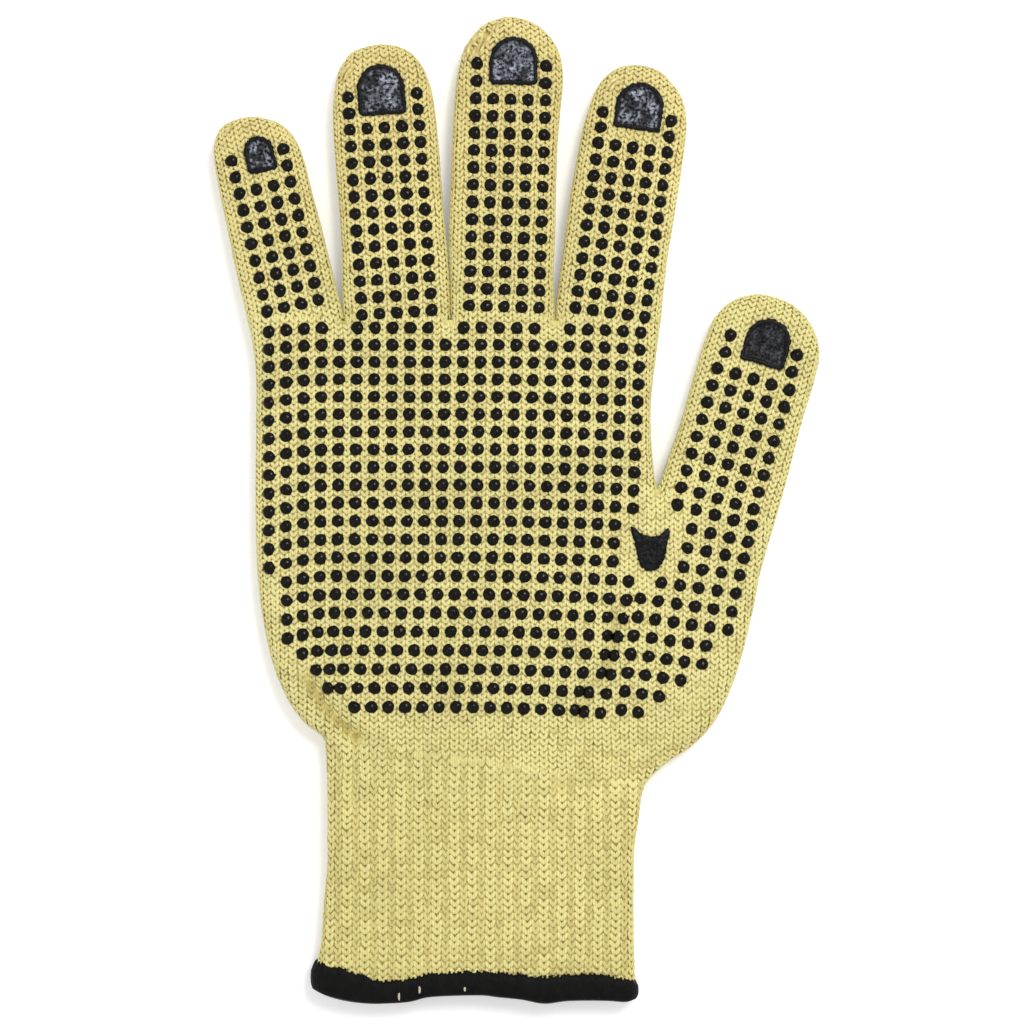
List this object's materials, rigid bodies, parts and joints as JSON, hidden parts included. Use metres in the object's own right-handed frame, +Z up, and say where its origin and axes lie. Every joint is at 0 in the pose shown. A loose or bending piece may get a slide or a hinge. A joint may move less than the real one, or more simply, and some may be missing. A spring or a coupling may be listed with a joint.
{
  "type": "cut resistant glove",
  "caption": "Knitted aramid glove for the right hand with grip dots, fingertip pads, a crotch patch and an elastic cuff; it folds at the fingers, thumb and wrist.",
  "frame": {"origin": "middle of the outline, on the surface that the back of the glove rests on", "axes": "+X towards the thumb side, +Y from the hem to the fingertips, +Z up out of the dotted palm"},
  "size_m": [0.1524, 0.25, 0.011],
  "materials": {
    "knit_yarn": "plain weft knit of pale yellow spun aramid yarn, matt and slightly hairy",
    "grip_dots": "black soft plastic dots, glossy domes",
    "fingertip_pads": "blue black soft plastic pad, pebbled and shiny, with a raised rim",
    "crotch_patch": "black soft plastic, glossy",
    "hem_thread": "black overlocking thread, matt",
    "elastic_yarn": "covered rubber yarn, matt"
  },
  "bodies": {
    "palm": {"lower_palm": "knit_yarn", "upper_palm": "knit_yarn", "crotch_patch": "crotch_patch", "lower_palm_dots": "grip_dots", "upper_palm_dots": "grip_dots"},
    "cuff": {"cuff_tube": "knit_yarn", "cuff_elastic": "elastic_yarn", "hem_overlock": "hem_thread"},
    "little_base": {"little_base": "knit_yarn", "little_base_dots": "grip_dots"},
    "little_middle": {"little_middle": "knit_yarn", "little_middle_dots": "grip_dots"},
    "little_tip": {"little_tip": "knit_yarn", "little_tip_dots": "grip_dots", "little_pad": "fingertip_pads"},
    "ring_base": {"ring_base": "knit_yarn", "ring_base_dots": "grip_dots"},
    "ring_middle": {"ring_middle": "knit_yarn", "ring_middle_dots": "grip_dots"},
    "ring_tip": {"ring_tip": "knit_yarn", "ring_tip_dots": "grip_dots", "ring_pad": "fingertip_pads"},
    "middle_base": {"middle_base": "knit_yarn", "middle_base_dots": "grip_dots"},
    "middle_middle": {"middle_middle": "knit_yarn", "middle_middle_dots": "grip_dots"},
    "middle_tip": {"middle_tip": "knit_yarn", "middle_tip_dots": "grip_dots", "middle_pad": "fingertip_pads"},
    "index_base": {"index_base": "knit_yarn", "index_base_dots": "grip_dots"},
    "index_middle": {"index_middle": "knit_yarn", "index_middle_dots": "grip_dots"},
    "index_tip": {"index_tip": "knit_yarn", "index_tip_dots": "grip_dots", "index_pad": "fingertip_pads"},
    "thumb_base": {"thumb_base": "knit_yarn", "thumb_base_dots": "grip_dots"},
    "thumb_tip": {"thumb_tip": "knit_yarn", "thumb_tip_dots": "grip_dots", "thumb_pad": "fingertip_pads"}
  },
  "joints": [
    {"name": "wrist_fold", "type": "hinge", "parent": "palm", "child": "cuff", "pos_m": [-0.00795, -0.06395, 0.01], "axis": [-0.9893, 0.146, 0], "range_deg": [0, 60]},
    {"name": "little_root_fold", "type": "hinge", "parent": "palm", "child": "little_base", "pos_m": [-0.0557, 0.04875, 0.01], "axis": [1, 0, 0], "range_deg": [0, 80]},
    {"name": "little_middle_fold", "type": "hinge", "parent": "little_base", "child": "little_middle", "pos_m": [-0.05996, 0.06676, 0.01], "axis": [0.9736, 0.2284, 0], "range_deg": [0, 90]},
    {"name": "little_tip_fold", "type": "hinge", "parent": "little_middle", "child": "little_tip", "pos_m": [-0.06287, 0.07915, 0.01], "axis": [0.9736, 0.2284, 0], "range_deg": [0, 55]},
    {"name": "ring_root_fold", "type": "hinge", "parent": "palm", "child": "ring_base", "pos_m": [-0.03, 0.04875, 0.01], "axis": [1, 0, 0], "range_deg": [0, 80]},
    {"name": "ring_middle_fold", "type": "hinge", "parent": "ring_base", "child": "ring_middle", "pos_m": [-0.03168, 0.07394, 0.01], "axis": [0.9978, 0.0663, 0], "range_deg": [0, 90]},
    {"name": "ring_tip_fold", "type": "hinge", "parent": "ring_middle", "child": "ring_tip", "pos_m": [-0.03304, 0.09435, 0.01], "axis": [0.9978, 0.0663, 0], "range_deg": [0, 55]},
    {"name": "middle_root_fold", "type": "hinge", "parent": "palm", "child": "middle_base", "pos_m": [-0.0031, 0.04875, 0.01], "axis": [1, 0, 0], "range_deg": [0, 80]},
    {"name": "middle_middle_fold", "type": "hinge", "parent": "middle_base", "child": "middle_middle", "pos_m": [-0.00227, 0.07515, 0.01], "axis": [0.9995, -0.0314, 0], "range_deg": [0, 90]},
    {"name": "middle_tip_fold", "type": "hinge", "parent": "middle_middle", "child": "middle_tip", "pos_m": [-0.00144, 0.10129, 0.01], "axis": [0.9995, -0.0314, 0], "range_deg": [0, 55]},
    {"name": "index_root_fold", "type": "hinge", "parent": "palm", "child": "index_base", "pos_m": [0.0236, 0.04875, 0.01], "axis": [1, 0, 0], "range_deg": [0, 80]},
    {"name": "index_middle_fold", "type": "hinge", "parent": "index_base", "child": "index_middle", "pos_m": [0.02649, 0.06972, 0.01], "axis": [0.9907, -0.1357, 0], "range_deg": [0, 90]},
    {"name": "index_tip_fold", "type": "hinge", "parent": "index_middle", "child": "index_tip", "pos_m": [0.02918, 0.08934, 0.01], "axis": [0.9907, -0.1357, 0], "range_deg": [0, 55]},
    {"name": "thumb_root_fold", "type": "hinge", "parent": "palm", "child": "thumb_base", "pos_m": [0.05019, 0.00075, 0.01], "axis": [0.9573, -0.289, 0], "range_deg": [0, 60]},
    {"name": "thumb_tip_fold", "type": "hinge", "parent": "thumb_base", "child": "thumb_tip", "pos_m": [0.05665, 0.02213, 0.01], "axis": [0.9573, -0.289, 0], "range_deg": [0, 60]}
  ]
}
